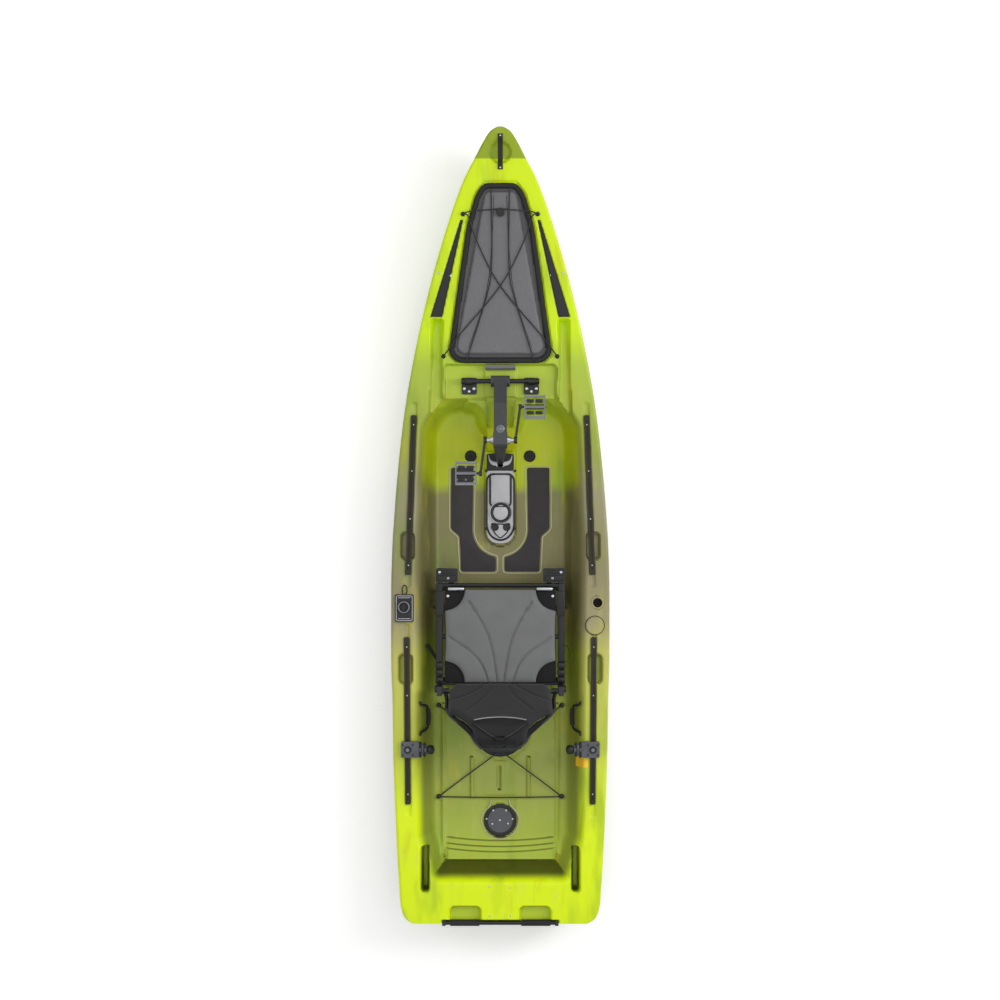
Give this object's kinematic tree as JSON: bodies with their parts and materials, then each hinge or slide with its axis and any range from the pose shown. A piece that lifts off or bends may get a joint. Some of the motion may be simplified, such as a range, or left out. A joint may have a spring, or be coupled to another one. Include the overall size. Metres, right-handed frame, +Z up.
{
  "type": "pedal kayak",
  "caption": "Sit-on-top kayak with a crank-driven folding propeller leg, framed mesh seat, gear rails, fore hatch and rudder.",
  "frame": {"origin": "bottom centre of the boat's box, on the flat of the keel", "axes": "+X starboard, +Y towards the bow, +Z up"},
  "size_m": [1.046, 3.81, 0.7808],
  "materials": {
    "hull_plastic": "rotomoulded polyethylene, lime to olive",
    "black_plastic": "moulded black nylon",
    "lid_plastic": "moulded charcoal polyethylene",
    "foam_mat": "closed-cell foam deck mat",
    "cover_plastic": "moulded light grey ABS",
    "rail_aluminium": "dark anodised extrusion",
    "bright_steel": "stainless steel",
    "black_metal": "black powder coat",
    "cord": "braided shock cord",
    "seat_cloth": "woven grey seat cloth",
    "back_cloth": "dark woven seat cloth",
    "rubber_grip": "moulded rubber",
    "seal_rubber": "extruded seal"
  },
  "bodies": {
    "hull": {"hull_shell": "hull_plastic", "bow_handle": "rubber_grip", "hatch_seal": "seal_rubber", "tank_cords": "cord", "stern_bar": "black_metal", "round_hatch_ring": "black_plastic", "drain_plate": "lid_plastic", "steering_base": "black_plastic", "drive_crossbar": "black_metal", "drive_arm": "black_plastic", "well_socket": "black_plastic", "leg_pin": "bright_steel", "rudder_carrier": "black_plastic", "deck_insert_left": "black_plastic", "deck_insert_right": "black_plastic", "gear_rail_front_left": "rail_aluminium", "gear_rail_front_right": "rail_aluminium", "gear_rail_rear_left": "rail_aluminium", "gear_rail_rear_right": "rail_aluminium", "foot_mat_left": "foam_mat", "foot_mat_right": "foam_mat", "scupper_plug_left": "rubber_grip", "scupper_plug_right": "rubber_grip", "stern_grip_left": "rubber_grip", "stern_grip_right": "rubber_grip", "crossbar_bracket_left": "bright_steel", "crossbar_bracket_right": "bright_steel"},
    "fore_hatch": {"hatch_lid": "lid_plastic", "lid_knob": "black_plastic", "bow_cords": "cord"},
    "hatch_catch": {"hatch_latch": "lid_plastic"},
    "round_cover": {"round_hatch_cover": "black_plastic"},
    "side_cap": {"gunwale_cap": "hull_plastic"},
    "steering_dial": {"steering_knob": "cover_plastic"},
    "rudder": {"rudder_blade": "black_plastic"},
    "well_lid": {"well_cover": "cover_plastic", "cover_cap": "cover_plastic"},
    "crank": {"crank_axle": "bright_steel", "crank_arm_left": "black_metal", "crank_arm_right": "black_metal"},
    "left_pedal": {"pedal_left": "bright_steel"},
    "right_pedal": {"pedal_right": "bright_steel"},
    "lower_leg": {"drive_leg": "black_plastic", "gearcase": "black_plastic"},
    "prop": {"propeller": "black_plastic"},
    "left_clamp": {"rail_clamp_left": "lid_plastic"},
    "right_clamp": {"rail_clamp_right": "lid_plastic"},
    "left_clamp_knob": {"clamp_knob_left": "black_plastic"},
    "right_clamp_knob": {"clamp_knob_right": "black_plastic"},
    "left_handle": {"carry_handle_left": "rubber_grip"},
    "right_handle": {"carry_handle_right": "rubber_grip"},
    "seat": {"seat_frame": "black_metal", "seat_cushion": "seat_cloth", "seat_clamp_left": "black_plastic", "seat_clamp_right": "black_plastic"},
    "seat_back": {"seat_back_frame": "black_metal", "seat_back_pad": "back_cloth"}
  },
  "joints": [
    {"name": "fore_hatch_hinge", "type": "hinge", "parent": "hull", "child": "fore_hatch", "pos_m": [0, 1.64655, 0.41274], "axis": [-1, 0, 0], "range_deg": [0, 100]},
    {"name": "hatch_latch_hinge", "type": "hinge", "parent": "fore_hatch", "child": "hatch_catch", "pos_m": [0, 0.7806, 0.346], "axis": [-1, 0, 0], "range_deg": [0, 70]},
    {"name": "round_cover_twist", "type": "hinge", "parent": "hull", "child": "round_cover", "pos_m": [0, -0.982, 0.2], "axis": [0, 0, 1], "range_deg": [0, 60]},
    {"name": "side_cap_hinge", "type": "hinge", "parent": "hull", "child": "side_cap", "pos_m": [0.4084, -0.464, 0.3345], "axis": [0, -1, 0], "range_deg": [0, 110]},
    {"name": "steering_turn", "type": "hinge", "parent": "hull", "child": "steering_dial", "pos_m": [-0.46, -0.375, 0.347], "axis": [0, 0, 1], "range_deg": [-70, 70]},
    {"name": "rudder_turn", "type": "hinge", "parent": "hull", "child": "rudder", "pos_m": [0, -1.69, 0.1], "axis": [0, 0, 1], "range_deg": [-35, 35]},
    {"name": "well_lid_lift", "type": "slide", "parent": "hull", "child": "well_lid", "axis": [0, 0, 1], "range_m": [0, 0.1]},
    {"name": "crank_spin", "type": "hinge", "parent": "hull", "child": "crank", "pos_m": [0, 0.419, 0.43], "axis": [1, 0, 0], "continuous": true},
    {"name": "left_pedal_spin", "type": "hinge", "parent": "crank", "child": "left_pedal", "pos_m": [-0.162, 0.262, 0.43], "axis": [1, 0, 0], "continuous": true},
    {"name": "right_pedal_spin", "type": "hinge", "parent": "crank", "child": "right_pedal", "pos_m": [0.162, 0.576, 0.43], "axis": [1, 0, 0], "continuous": true},
    {"name": "leg_fold", "type": "hinge", "parent": "hull", "child": "lower_leg", "pos_m": [0, 0.322, 0.08], "axis": [1, 0, 0], "range_deg": [0, 90]},
    {"name": "prop_spin", "type": "hinge", "parent": "lower_leg", "child": "prop", "pos_m": [0, -0.008, 0.027], "axis": [0, 0, 1], "continuous": true},
    {"name": "left_clamp_slide", "type": "slide", "parent": "hull", "child": "left_clamp", "axis": [-0.008, 1, 0], "range_m": [-0.2, 0.4]},
    {"name": "right_clamp_slide", "type": "slide", "parent": "hull", "child": "right_clamp", "axis": [0.008, 1, 0], "range_m": [-0.2, 0.4]},
    {"name": "left_clamp_turn", "type": "hinge", "parent": "left_clamp", "child": "left_clamp_knob", "pos_m": [-0.33, -1.054, 0.354], "axis": [1, 0, 0], "continuous": true},
    {"name": "right_clamp_turn", "type": "hinge", "parent": "right_clamp", "child": "right_clamp_knob", "pos_m": [0.33, -1.054, 0.354], "axis": [1, 0, 0], "continuous": true},
    {"name": "left_handle_swing", "type": "hinge", "parent": "hull", "child": "left_handle", "pos_m": [-0.3828, -0.91, 0.318], "axis": [0, -1, 0], "range_deg": [0, 100]},
    {"name": "right_handle_swing", "type": "hinge", "parent": "hull", "child": "right_handle", "pos_m": [0.3828, -0.91, 0.318], "axis": [0, 1, 0], "range_deg": [0, 100]},
    {"name": "seat_slide", "type": "slide", "parent": "hull", "child": "seat", "axis": [0, 1, 0], "range_m": [-0.04, 0.12]},
    {"name": "seat_back_fold", "type": "hinge", "parent": "seat", "child": "seat_back", "pos_m": [0, -0.77, 0.405], "axis": [-1, 0, 0], "range_deg": [0, 111]}
  ],
  "couplings": [
    {"joint": "rudder_turn", "follows": "steering_turn", "ratio": 0.5},
    {"joint": "prop_spin", "follows": "crank_spin", "ratio": 10}
  ]
}
